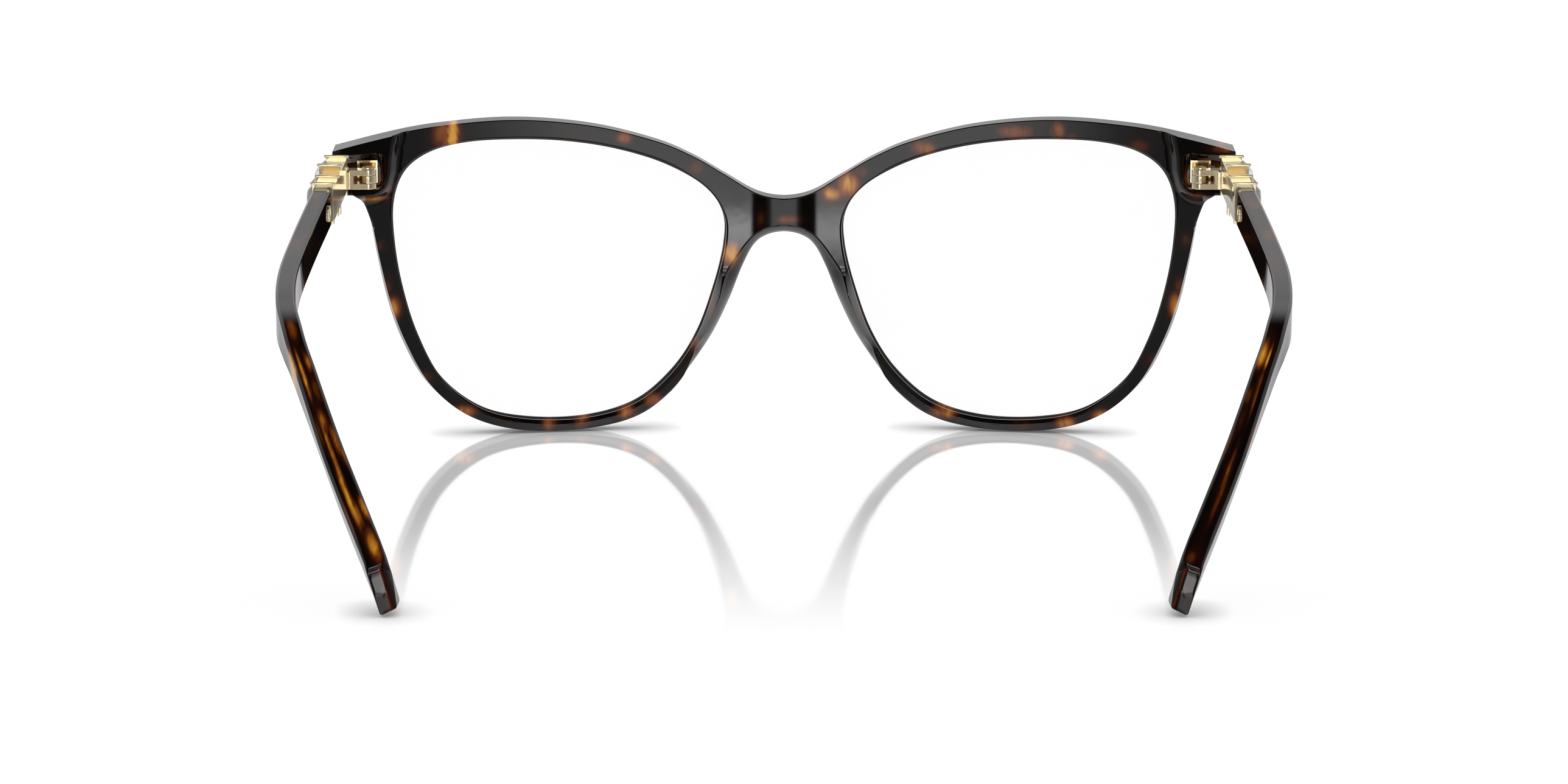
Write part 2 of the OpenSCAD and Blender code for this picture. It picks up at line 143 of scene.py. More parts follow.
def edge_distance(points, line):
    """Distance of each flat point to a polyline, the least over its straight pieces."""
    a, b = line[:-1], line[1:]
    ab = b - a
    size = np.maximum((ab * ab).sum(1), 1e-12)
    out = np.empty(len(points))
    for k in range(0, len(points), 1500):
        p = points[k:k + 1500, None, :] - a[None]
        t = np.clip((p * ab[None]).sum(2) / size, 0, 1)
        out[k:k + 1500] = np.sqrt(((p - t[..., None] * ab[None]) ** 2).sum(2).min(1))
    return out


def rounding(distance, r):
    """Fall of a polished edge of width r at a distance d from the edge: r (1 - d/r)^1.2."""
    return r * (np.clip(r - distance, 0, r) / r) ** 1.2


def bend(turn, depth):
    """Plan of the bent front: a circle of BRIDGE_R up to BRIDGE_TURN, then one of LENS_R."""
    lens = turn >= BRIDGE_TURN
    radius = np.where(lens, LENS_R, BRIDGE_R) - depth
    slip = np.where(lens, BRIDGE_R - LENS_R, 0.0)
    x = slip * math.sin(BRIDGE_TURN) + radius * np.sin(turn)
    y = BRIDGE_Y + FRONT_T - BRIDGE_R + slip * math.cos(BRIDGE_TURN) + radius * np.cos(turn)
    return x, y


def in_lens_plane(x, y):
    """Reach along the lens plane and depth through it, positive to the front, of places in plan:
    a turn by the face form about the back of the bridge."""
    cos, sin = math.cos(FACE_FORM), math.sin(FACE_FORM)
    return x * cos - (y - BRIDGE_Y) * sin, x * sin + (y - BRIDGE_Y) * cos


# Reach and depth of the back face by the turn of the bend
TURNS = np.radians(np.linspace(-3, 14, 2000))
REACH, SINK = in_lens_plane(*bend(TURNS, FRONT_T))


def sheet_point(flat, depth):
    """Place of a flat pattern point at a depth behind the front face, along the sheet's normal.
    Towards the end piece the normal turns square to the face."""
    turn = np.interp(flat[..., 0], REACH, TURNS)
    x, y = bend(turn, FRONT_T)
    square = ease(58, 69.5, flat[..., 0])
    nx = np.sin(turn) * (1 - square)
    ny = np.cos(turn) * (1 - square) + square
    size = np.hypot(nx, ny)
    rise = FRONT_T - depth
    return np.stack([x + rise * nx / size, y + rise * ny / size, flat[..., 1] + 0 * depth], -1)


# Upper edge of the wall round the thick end piece, in the flat pattern
BOSS_LINE = smooth_curve([
    (61.0, 56), (61.25, 50), (61.7, 46.6), (62.05, 44.4), (62.2, 42.6), (62.4, 41.2),
    (62.9, 39.9), (63.9, 39.15), (65.3, 38.95), (72, 38.9), (80, 38.85),
], steps=8)


def inside_boss(flat):
    """Signed distance to the end piece's wall edge, positive over the end piece."""
    s, z = flat[..., 0], flat[..., 1]
    inner = np.interp(-z, -BOSS_LINE[:, 1], BOSS_LINE[:, 0])
    gap = edge_distance(flat.reshape(-1, 2), BOSS_LINE).reshape(s.shape)
    return np.where(s > inner, gap, -gap)


def endpiece_back(s):
    """Depth of the end piece's back plane in the lens plane, at a reach along it."""
    return ENDPIECE_DEPTH - ENDPIECE_SLOPE * (s - ENDPIECE_START)


def endpiece_depth(flat, lens_gap):
    """Extra thickness of the end piece: a back plane sloping away from the rim, inside a soft wall
    with a low step beside the lens. Towards the brow the wall widens into a gentler slope."""
    s, z = flat[..., 0], flat[..., 1]
    over = np.maximum(np.interp(s, REACH, SINK) - endpiece_back(s), 0) * (s > ENDPIECE_START - 1)
    gap = inside_boss(flat)
    width = WALL_WIDTH + WALL_WIDEN * ease(44.6, 47.5, z)
    wall = ease(0, 1, gap / width + 1)
    low = np.clip((gap + 2.2) / 1.1, 0, 1) * ease(41.2, 42.6, z) * ease(46.2, 44.8, z)
    low *= WALL_STEP
    return over * (low + (1 - low) * wall) * ease(0.0, 0.5, lens_gap)


def pad_rise(z):
    """Height of the nose pad behind the rim at a height above the floor."""
    return PAD_RISE * ease(*PAD_TOP, z) * ease(*PAD_FOOT, z)


def pad_depth(flat, lens_gap):
    """Nose pad before its nose side is cut: a step that follows the lens edge."""
    s, z = flat[..., 0], flat[..., 1]
    return pad_rise(z) * (s < 20) * ease(0.05, 0.5, lens_gap)


def put(name, data):
    """New object of the scene at the origin."""
    obj = bpy.data.objects.new(name, data)
    bpy.context.scene.collection.objects.link(obj)
    return obj


def put_mesh(name, points, faces, material):
    """Smooth mesh object at the origin from points in millimetres and lists of face corners."""
    mesh = bpy.data.meshes.new(name)
    mesh.from_pydata((points * MM).tolist(), [], faces)
    mesh.polygons.foreach_set("use_smooth", np.ones(len(mesh.polygons), bool))
    mesh.materials.append(material)
    mesh.validate()
    return put(name, mesh)


def face_outwards(mesh):
    """Turns every face of a closed mesh outwards."""
    work = bmesh.new()
    work.from_mesh(mesh)
    bmesh.ops.recalc_face_normals(work, faces=work.faces)
    work.to_mesh(mesh)
    work.free()


def grid_quads(rows, columns, wrap_rows=False, wrap_columns=False):
    """Corner numbers of the faces of a grid, with its rows or columns closed on themselves."""
    i = np.arange(rows if wrap_rows else rows - 1)[:, None]
    j = np.arange(columns if wrap_columns else columns - 1)[None]
    near, far = i * columns, (i + 1) % rows * columns
    jj = (j + 1) % columns
    return np.stack([near + j, near + jj, far + jj, far + j], -1)


def spread(points, quads):
    """Drops the points that no face uses and renumbers the faces."""
    used, numbers = np.unique(quads, return_inverse=True)
    return points[used], numbers.reshape(quads.shape)


def set_float(obj, name, values):
    """Stores one number per point of a mesh under a name that its material reads."""
    layer = obj.data.attributes.new(name, "FLOAT", "POINT")
    layer.data.foreach_set("value", np.asarray(values, np.float32))


def points_of(obj):
    """Points of a mesh in millimetres."""
    out = np.empty(len(obj.data.vertices) * 3)
    obj.data.vertices.foreach_get("co", out)
    return out.reshape(-1, 3) / MM


def clouds(u, v, places, power):
    """Largest of soft spots at each point: [u, v, half size along u and along v, strength], each
    fading as exp(-r^(2 power))."""
    total = 0.0
    for at_u, at_v, along_u, along_v, strength in places:
        r2 = ((u - at_u) / along_u) ** 2 + ((v - at_v) / along_v) ** 2
        total = np.maximum(total, strength * np.exp(-(r2**power)))
    return total


# Materials


def new_material(name):
    """Empty node material and its shader."""
    material = bpy.data.materials.new(name)
    material.use_nodes = True
    tree = material.node_tree
    return material, tree, tree.nodes["Principled BSDF"]


def node(tree, kind, **values):
    """Adds a node and sets its inputs and properties by name."""
    made = tree.nodes.new(kind)
    for key, value in values.items():
        if key in made.inputs:
            made.inputs[key].default_value = value
        else:
            setattr(made, key, value)
    return made


def maths(tree, operation, *inputs, clamp=False):
    """Result of a maths node on links or numbers."""
    made = node(tree, "ShaderNodeMath", operation=operation, use_clamp=clamp)
    for socket, value in zip(made.inputs, inputs):
        if isinstance(value, (int, float)):
            socket.default_value = value
        else:
            tree.links.new(value, socket)
    return made.outputs["Value"]


def span(tree, value, low, high, first, last, smooth=False):
    """Change of a linked value: first up to low, last from high on, even or smooth between."""
    made = node(tree, "ShaderNodeMapRange", interpolation_type="SMOOTHSTEP" if smooth else "LINEAR")
    for key, number in zip(("From Min", "From Max", "To Min", "To Max"), (low, high, first, last)):
        made.inputs[key].default_value = number
    tree.links.new(value, made.inputs["Value"])
    return made.outputs["Result"]


def noise(tree, place, **values):
    """Noise at a linked place."""
    made = node(tree, "ShaderNodeTexNoise", **values)
    tree.links.new(place, made.inputs["Vector"])
    return made.outputs["Fac"]


def colour_ramp(tree, value, stops):
    """Colour at a linked value, from a list of (place, colour)."""
    ramp = tree.nodes.new("ShaderNodeValToRGB")
    band = ramp.color_ramp
    while len(band.elements) < len(stops):
        band.elements.new(0.5)
    for element, (place, colour) in zip(band.elements, stops):
        element.position = place
        element.color = (*colour, 1)
    tree.links.new(value, ramp.inputs["Fac"])
    return ramp.outputs["Color"]


def tortoise(name, stretch, amber_stops):
    """Polished tortoise acetate: soft amber clouds from the piece's own amber attribute (on the
    front it also carries a painted glow in the hinge pockets), frayed by noise, over near-black
    brown, with a faint polishing wave."""
    material, tree, shader = new_material(name)
    link = tree.links.new
    coords = node(tree, "ShaderNodeTexCoord").outputs["Object"]
    mapping = node(tree, "ShaderNodeMapping", Scale=stretch)
    link(coords, mapping.inputs["Vector"])
    place = mapping.outputs["Vector"]
    cloud = noise(tree, place, Scale=260.0, Detail=3.0, Roughness=0.55, Distortion=0.3)
    haze = noise(tree, place, Scale=95.0, Detail=2.0, Roughness=0.5)
    amber = node(tree, "ShaderNodeAttribute", attribute_name="amber").outputs["Fac"]
    spot = maths(tree, "MULTIPLY", amber, span(tree, cloud, 0.3, 0.7, 0.55, 1.3))
    veil = span(tree, haze, 0.5, 0.8, 0.0, 0.15)
    depth = maths(tree, "ADD", spot, veil, clamp=True)
    link(colour_ramp(tree, depth, amber_stops), shader.inputs["Base Color"])
    bump = node(tree, "ShaderNodeBump", Strength=0.004, Distance=0.0002)
    link(noise(tree, coords, Scale=420.0, Detail=1.0), bump.inputs["Height"])
    link(bump.outputs["Normal"], shader.inputs["Normal"])
    link(span(tree, haze, 0.0, 1.0, 0.02, 0.05), shader.inputs["Roughness"])
    shader.inputs["IOR"].default_value = 1.49
    return material


def amber_glow_in_recess(tree, coords, tint):
    """Painted amber glow: colour that turns from the tint to orange in the recess of the hinge
    plate, by depth through the lens plane: |x| sin(face form) + (y - bridge) cos(face form)."""
    link = tree.links.new
    split = node(tree, "ShaderNodeSeparateXYZ")
    link(coords, split.inputs["Vector"])
    aside = maths(tree, "ABSOLUTE", split.outputs["X"])
    turned = maths(tree, "MULTIPLY", aside, math.tan(FACE_FORM))
    depth = maths(tree, "ADD", turned, split.outputs["Y"])
    low, high = ((BRIDGE_Y + d / math.cos(FACE_FORM)) * MM for d in (1.58, 1.72))
    # Painted amber glow: orange streaks that fade in with depth into the recess
    streak = noise(tree, coords, Scale=700.0)
    recess = colour_ramp(tree, streak, [(0.35, (0.62, 0.24, 0.03)), (0.65, (0.85, 0.42, 0.08))])
    mix = node(tree, "ShaderNodeMixRGB")
    link(span(tree, depth, low, high, 0.0, 1.0), mix.inputs["Fac"])
    link(tint, mix.inputs["Color1"])
    link(recess, mix.inputs["Color2"])
    return mix.outputs["Color"]


def champagne_gold(name, amber_glow=False):
    """Polished pale gold plating with a faint brushed grain, and on request a painted amber glow in
    the hinge plate's recess.
    """
    material, tree, shader = new_material(name)
    link = tree.links.new
    coords = node(tree, "ShaderNodeTexCoord").outputs["Object"]
    grain = noise(tree, coords, Scale=900.0, Detail=2.0)
    tint = colour_ramp(tree, grain, [(0.3, (0.87, 0.735, 0.475)), (0.7, (0.91, 0.78, 0.525))])
    link(amber_glow_in_recess(tree, coords, tint) if amber_glow else tint, shader.inputs["Base Color"])
    link(span(tree, grain, 0.0, 1.0, 0.1, 0.15), shader.inputs["Roughness"])
    shader.inputs["Metallic"].default_value = 0.78
    return material


def clear_material(name, cloud_scale, stops):
    """Clear material with a very faint cloud in its tint, and its shader."""
    material, tree, shader = new_material(name)
    coords = node(tree, "ShaderNodeTexCoord").outputs["Object"]
    tint = colour_ramp(tree, noise(tree, coords, Scale=cloud_scale), stops)
    tree.links.new(tint, shader.inputs["Base Color"])
    return material, shader


def cut_crystal(name):
    """Clear cut stone."""
    tints = [(0.3, (0.86, 0.92, 0.97)), (0.7, (0.95, 0.97, 1.0))]
    material, shader = clear_material(name, 500.0, tints)
    shader.inputs["Roughness"].default_value = 0.01
    shader.inputs["IOR"].default_value = 1.6
    shader.inputs["Transmission Weight"].default_value = 0.85
    return material


def clear_lens(name):
    """Coated clear lens, almost wholly see-through."""
    tints = [(0.3, (0.96, 0.98, 1.0)), (0.7, (1.0, 1.0, 1.0))]
    material, shader = clear_material(name, 30.0, tints)
    shader.inputs["Roughness"].default_value = 0.03
    shader.inputs["Specular IOR Level"].default_value = 0.2
    shader.inputs["Alpha"].default_value = 0.02
    return material


# Acetate from its dark ground to its brightest amber: (place, colour)
FRONT_STOPS = [
    (0.0, (0.0024, 0.0017, 0.0014)), (0.22, (0.016, 0.0042, 0.002)), (0.45, (0.085, 0.02, 0.0055)),
    (0.7, (0.26, 0.075, 0.016)), (0.85, (0.44, 0.18, 0.027)), (1.0, (0.66, 0.33, 0.05)),
]
TEMPLE_STOPS = [
    (0.0, (0.0024, 0.0015, 0.0012)), (0.22, (0.02, 0.004, 0.0014)), (0.45, (0.1, 0.022, 0.003)),
    (0.7, (0.35, 0.125, 0.01)), (1.0, (0.62, 0.33, 0.028)),
]
front_acetate = tortoise("front_acetate", (1.3, 1, 0.5), FRONT_STOPS)
temple_acetate = tortoise("temple_acetate", (1.6, 0.45, 0.6), TEMPLE_STOPS)
gold = champagne_gold("champagne_gold")
# The hinge plate's gold has a painted amber glow in its recess
plate_gold = champagne_gold("plate_gold", amber_glow=True)
crystal = cut_crystal("cut_crystal")
lens_clear = clear_lens("clear_lens")

# Amber clouds of the front: [x, z, half width, half height, strength]
FRONT_AMBER = [
    (-51.5, 47.6, 0.9, 4, 1.15), (-52.5, 47.5, 2.3, 3, 0.66), (-24.8, 46.5, 1.5, 1.1, 0.65),
    (-13.6, 41.6, 1.8, 1.4, 0.35), (-8.3, 27.9, 1.7, 2.1, 0.9), (-61.1, 20.5, 1.5, 2.2, 0.8),
    (-62, 24, 1.2, 2, 0.4), (-64, 38.1, 2.6, 0.6, 0.85), (-61.3, 39.5, 0.6, 0.9, 0.4),
    (-50.4, 3.7, 2.4, 1.2, 0.8), (-36.8, 1.6, 1.3, 1.6, 0.55), (-31.6, 1.6, 1.5, 1.5, 0.7),
    (-24.8, 3.1, 1.6, 1.5, 0.65), (-20.6, 4.7, 1.6, 1.3, 0.55),
    (-14.1, 13.7, 1.3, 1.6, 0.5), (-3.6, 33.2, 0.9, 1.6, 0.24),
    (-56.1, 9.4, 1.6, 1.2, 0.3), (-63.1, 30.4, 1.2, 1, 0.35), (-11.5, 20, 0.8, 2, 0.4),
    (21.8, 44.8, 2.1, 1.4, 0.85), (35.9, 47.7, 3, 1.3, 0.6), (42.6, 47.9, 1.2, 1.6, 0.8),
    (44.9, 47, 1.5, 0.9, 0.35), (55.2, 46, 1.6, 1.2, 0.4), (10, 38.9, 1.9, 2.3, 1.0),
    (7.5, 37.4, 2.0, 1.3, 0.85), (12, 40.9, 1.2, 1.1, 0.45), (0.7, 33.2, 2.1, 0.9, 0.62),
    (60.9, 21, 1.2, 2.3, 1.0), (61.7, 24, 1.1, 1.6, 0.5), (57.5, 12.1, 1.2, 1.2, 0.45),
    (62.6, 31.3, 1, 1.2, 0.35), (24.9, 2.9, 2.2, 1.2, 0.85), (44.2, 1.6, 1.8, 1.2, 0.65),
    (49.7, 3.1, 1.7, 1.1, 0.8), (37.4, 1, 1.3, 0.9, 0.35), (19.1, 11, 1.2, 1.2, 0.25),
    (64, 38.6, 2, 0.9, 0.4), (69.4, 44.4, 1.2, 0.8, 0.4), (67.6, 46.3, 1.8, 0.7, 0.6),
    (12, 19, 0.8, 2, 0.35),
]


# Front: a ring of flat pattern lines from the lens edge to the outer edge, bent and thickened.
# Numbers of lines round the rim and across the bridge's middle, and of columns between the edges
RIM_LINES, BRIDGE_LINES, COLUMNS = 380, 25, 40


def front_lines():
    """Ends of the lines on the outer edge, from the bridge's top round to its arch, and on the lens
    edge, then both edges as curves. Each stretch between facing places is shared out by length."""
    brow = smooth_curve(BROW_POINTS)
    rim = smooth_curve(RIM_POINTS)
    outer = np.vstack([brow, smooth_curve(END_POINTS, steps=6), rim])
    top = np.array([[0, np.interp(0, brow[:40, 0], brow[:40, 1])]])
    foot = np.array([[0, np.interp(0, rim[-40:, 0][::-1], rim[-40:, 1][::-1])]])
    outer = np.vstack([top, outer[outer[:, 0] > 0.02], foot])
    lens = smooth_curve(LENS_POINTS, closed=True)
    first = np.argmin(np.linalg.norm(lens - np.array(LENS_PLACES[0]), axis=1))
    lens = np.vstack([np.roll(lens, -first, axis=0), lens[first:first + 1]])
    o_run, l_run = run_of(outer), run_of(lens)
    o_at = [nearest_run(outer, o_run, place) for place in OUTER_PLACES]
    l_at = [nearest_run(lens[:-1], l_run[:-1], place) for place in LENS_PLACES]
    o_at[0], o_at[-1], l_at[0] = 0.0, o_run[-1], 0.0
    stretch = np.maximum(np.diff(o_at), np.diff(l_at)) + 0.4
    # More lines over the end piece, where the wall is steep
    stretch[5:9] *= 1.8
    share = np.cumsum(np.concatenate([[0], stretch]))
    even = np.linspace(0, share[-1], RIM_LINES)
    edge = at_run(outer, o_run, np.interp(even, share, o_at))
    facing = at_run(lens, l_run, np.interp(even, share, l_at))
    # Across the middle of the bridge the lines end on the middle plane, closer at both ends
    t = 0.5 - 0.5 * np.cos(np.pi * np.arange(1, BRIDGE_LINES + 1) / (BRIDGE_LINES + 1))
    middle = foot + (top - foot) * t[:, None]
    close = at_run(lens, l_run, l_at[-1] + (l_run[-1] - l_at[-1]) * t)
    return np.vstack([edge, middle]), np.vstack([facing, close]), outer, lens


def edge_round(z):
    """Width of the polished outer edge at a height: narrower along the brow."""
    return EDGE_ROUND - (EDGE_ROUND - BROW_ROUND) * ease(34, 36, z)


def lens_round(flat):
    """Width of the polished lens edge: half as wide beside the nose, above the pads."""
    return LENS_EDGE_ROUND * (1 - 0.5 * ease(18, 14, flat[..., 0]) * ease(23.5, 26.5, flat[..., 1]))


def front_shares(edge, facing, outer, lens):
    """Places of the columns between lens edge and outer edge, as shares of each line. The first and
    last columns keep set distances to the edges, so that they follow the edge roundings."""
    across = edge - facing
    long = np.linalg.norm(across, axis=1, keepdims=True)
    probe = 0.25
    lens_slant = edge_distance(facing + across / long * probe, lens)[:, None] / probe
    edge_slant = edge_distance(edge - across / long * probe, outer)[:, None] / probe
    first = lens_round(facing)[:, None] * np.array([[0, 0.33, 0.67, 1.0, 1.4]])
    first = first / (long * np.clip(lens_slant, 0.4, 1))
    last = edge_round(edge[:, 1:]) * np.array([[1.5, 1.0, 0.5, 0]])
    last = 1 - last / (long * np.clip(edge_slant, 0.4, 1))
    even = 0.5 - 0.5 * np.cos(np.pi * np.arange(1, COLUMNS + 1) / (COLUMNS + 1))
    return np.hstack([first, first[:, -1:] + (last[:, :1] - first[:, -1:]) * even, last])


def rim_draft(flat):
    """Share of draft on the outer wall: full on the rims below the end pieces, none elsewhere."""
    return ease(24, 32, flat[..., 0]) * ease(37, 33, flat[..., 1])


def front_mesh():
    """Back sheet, outer wall, front sheet and grooved lens wall of the right half as one closed
    band, joined to its mirror image on the middle plane."""
    edge, facing, outer, lens = front_lines()
    shares = front_shares(edge, facing, outer, lens)
    flat = facing[:, None] + (edge - facing)[:, None] * shares[:, :, None]
    lines, columns = flat.shape[:2]
    lens_gap = edge_distance(flat.reshape(-1, 2), lens).reshape(lines, columns)
    edge_gap = edge_distance(flat.reshape(-1, 2), outer).reshape(lines, columns)
    draft = rim_draft(flat)
    edge_fall = rounding(edge_gap, edge_round(flat[..., 1]))
    fall = edge_fall + rounding(lens_gap, lens_round(flat))
    full = FRONT_T + endpiece_depth(flat, lens_gap) + pad_depth(flat, lens_gap)
    back = full - (fall - edge_fall * draft)
    away = (edge - facing) / np.linalg.norm(edge - facing, axis=1, keepdims=True)
    inset = RIM_DRAFT * draft[:, -1:, None] * away[:, None]
    wall = np.linspace(0, 1, 8)[1:-1]
    outer_wall = back[:, -1:] + (fall[:, -1:] - back[:, -1:]) * wall[None]
    groove = np.array([0.0, 0.0, GROOVE, GROOVE, 0.0, 0.0, 0.0])
    depths = np.array([0.6, *GROOVE_WALLS, 3.2, 3.38])
    groove_flat = facing[:, None] + away[:, None] * groove[None, :, None]
    band = np.concatenate([
        sheet_point(flat - inset * ease(0.6, 0, edge_gap)[..., None], back),
        sheet_point(flat[:, -1:] - inset * (1 - wall)[None, :, None], outer_wall),
        sheet_point(flat[:, ::-1], fall[:, ::-1]),
        sheet_point(groove_flat, np.repeat(depths[None], lines, 0)),
    ], 1)
    # On the middle plane the band has no outer wall: its points lie at x = 0 and its faces go
    around = band.shape[1]
    band[RIM_LINES - 1:, columns - 1:columns + len(wall) + 1, 0] = 0
    band[0, columns - 1:columns + len(wall) + 1, 0] = 0
    quads = grid_quads(lines, around, True, True)
    wall_faces = np.zeros((lines, around), bool)
    wall_faces[RIM_LINES - 1:, columns - 1:columns + len(wall)] = True
    quads = quads[~wall_faces]
    points, quads = spread(band.reshape(-1, 3), quads)
    middle = points[:, 0] == 0
    twin = np.where(middle, np.arange(len(points)), 0)
    twin[~middle] = len(points) + np.arange((~middle).sum())
    both = np.vstack([points, points[~middle] * [-1, 1, 1]])
    return both, np.vstack([quads, twin[quads][:, ::-1]])


def loft(name, stack):
    """Closed solid through a stack of loops."""
    rows, columns = stack.shape[:2]
    quads = grid_quads(rows, columns, False, True).reshape(-1, 4).tolist()
    caps = [list(range(columns))[::-1], list(range((rows - 1) * columns, rows * columns))]
    mesh = bpy.data.meshes.new(name)
    mesh.from_pydata((stack.reshape(-1, 3) * MM).tolist(), [], quads + caps)
    face_outwards(mesh)
    return put(name, mesh)


def rounded_slot(inset):
    """Loop of the hinge pocket's outline, drawn in by an inset: open far outboard, round inside."""
    low, high, side, r = POCKET_LOW + inset, POCKET_HIGH - inset, POCKET_SIDE + inset, POCKET_R
    turn = np.linspace(0, np.pi / 2, 9)
    upper = np.stack([side + r - r * np.sin(turn), high - r + r * np.cos(turn)], 1)
    lower = np.stack([side + r - r * np.cos(turn), low + r - r * np.sin(turn)], 1)
    return np.vstack([[(POCKET_END, high)], upper, lower, [(POCKET_END, low)]])


# Loops of the hinge pocket: [inset, depth, whether the depth is taken from the sloping back face]
POCKET_LOOPS = [
    (0.3, 2.3, 0), (0.06, 2.22, 0), (0.0, 2.0, 0), (0.0, 0.3, 1), (-0.04, 0.12, 1),
    (-0.12, -0.06, 1), (-0.16, -4.0, 1),
]


def pocket_cutter(side):
    """Pocket as a stack of loops through the end piece: narrow at its floor, straight, then flared
    at the sloping back face."""
    rings = []
    for inset, rise, on_back in POCKET_LOOPS:
        loop = rounded_slot(inset)
        depth = rise + on_back * endpiece_back(loop[:, 0])
        x = loop[:, 0] * math.cos(FACE_FORM) + depth * math.sin(FACE_FORM)
        y = BRIDGE_Y - loop[:, 0] * math.sin(FACE_FORM) + depth * math.cos(FACE_FORM)
        rings.append(np.stack([side * x, y, loop[:, 1]], 1))
    return loft("pocket_cutter", np.array(rings))


# Width of the nose side face by height above the floor: [height, width]
SADDLE_WIDTH = np.array([
    (4.6, -0.3), (6.0, -0.02), (8.4, 0.3), (10.6, 0.95), (12.2, 1.45), (14.5, 2.0), (19.2, 2.2),
    (22.1, 2.3), (23.9, 2.15), (25.6, 1.8), (27.4, 1.45), (28.8, 1.25), (30.8, 1.2),
])
# Depths between which the nose side spreads: behind the front face, and ahead of the back face
SADDLE_START, SADDLE_STOP = 0.5, 0.3
# Rolled edge of the nose side: [depth beyond the back face, how far out]
SADDLE_ROLL = [(-0.06, 0.14), (0.02, 0.5)]


def saddle_cutter():
    """Space of the nose as a stack of loops behind each other. The nose edge moves out by
    w (0.12 u + 0.88 u^1.9), u running from 0 near the front face to 1 near the back, and a small
    rolled edge ends it there. The first and the last loop lie clear of the front."""
    rim = smooth_curve(RIM_POINTS)
    top = (0, np.interp(0, rim[::-1, 0], rim[::-1, 1]))
    half = np.vstack([rim[(rim[:, 0] > 0.02) & (rim[:, 0] < 20)], [top]])
    run = run_of(half)
    half = at_run(half, run, np.linspace(0, run[-1], 90))
    tangent = np.gradient(half, axis=0)
    out = np.stack([-tangent[:, 1], tangent[:, 0]], 1)
    out *= np.sign(out[-1, 1]) / np.linalg.norm(out, axis=1, keepdims=True)
    out[-1] = (0, 1)
    width = np.interp(half[:, 1], SADDLE_WIDTH[:, 0], SADDLE_WIDTH[:, 1])
    deep = FRONT_T + pad_rise(half[:, 1] + width * out[:, 1])

    def loop(move, depth):
        """Loop over both halves, with the nose edge moved out, at a depth behind the front face."""
        flat = half + out * np.where(width > 0, move, width)[:, None]
        right = sheet_point(flat, depth)
        right[-1, 0] = 0
        return np.vstack([right, (right[:-1] * [-1, 1, 1])[::-1]])

    stack = [loop(-0.4, 0 * deep + SADDLE_START - 2)]
    for u in (0.0, 0.12, 0.25, 0.4, 0.55, 0.7, 0.85, 1.0):
        depth = SADDLE_START + (deep - SADDLE_STOP - SADDLE_START) * u
        stack.append(loop(width * (0.12 * u + 0.88 * u**1.9), depth))
    roll = np.clip(width / 1.2, 0.06, 1)
    stack += [loop(width + reach * roll, deep + beyond) for beyond, reach in SADDLE_ROLL]
    stack.append(loop(width + 2.4, deep + 3))
    return loft("saddle_cutter", np.array(stack))


def sharp_marks(mesh):
    """Store of the sharp marks of a mesh's edges, and their values."""
    marks = mesh.attributes["sharp_edge"].data
    sharp = np.empty(len(mesh.edges), bool)
    marks.foreach_get("value", sharp)
    return marks, sharp


def soften_wall(mesh, points):
    """Takes the sharp marks off the wall round the end piece, which bends smoothly."""
    ends = np.empty(len(mesh.edges) * 2, np.int32)
    mesh.edges.foreach_get("vertices", ends)
    middle = points[ends.reshape(-1, 2)].mean(1)
    reach, depth = in_lens_plane(np.abs(middle[:, 0]), middle[:, 1])
    gap = inside_boss(np.stack([reach, middle[:, 2]], 1))
    off_wall = (gap < -2.6) | (gap > -0.02) | (depth > 1.0)
    marks, sharp = sharp_marks(mesh)
    marks.foreach_set("value", sharp & off_wall)


def sharpen_saddle(mesh):
    """Marks the line where the nose side was cut as sharp: the edges between a cut face, which has
    material slot 1, and one of slot 0. Then all faces go back to slot 0."""
    slots = np.empty(len(mesh.polygons), np.int32)
    mesh.polygons.foreach_get("material_index", slots)
    sizes = np.empty(len(mesh.polygons), np.int32)
    mesh.polygons.foreach_get("loop_total", sizes)
    edges = np.empty(len(mesh.loops), np.int32)
    mesh.loops.foreach_get("edge_index", edges)
    cut = np.bincount(edges, np.repeat(slots, sizes), len(mesh.edges))
    marks, sharp = sharp_marks(mesh)
    marks.foreach_set("value", sharp | (cut == 1))
    mesh.polygons.foreach_set("material_index", np.zeros(len(slots), np.int32))


def painted_pocket_glow(points):
    """Painted glow: amber inside the hinge pockets, standing in for light through the thin acetate
    there; grows with depth.
    """
    reach, depth = in_lens_plane(np.abs(points[:, 0]), points[:, 1])
    z = points[:, 2]
    inside = (reach > POCKET_SIDE - 0.1) & (z > POCKET_LOW - 0.05) & (z < POCKET_HIGH + 0.05)
    return inside * 0.85 * ease(-0.8, 1.6, depth) * ease(44.4, 41.5, z)


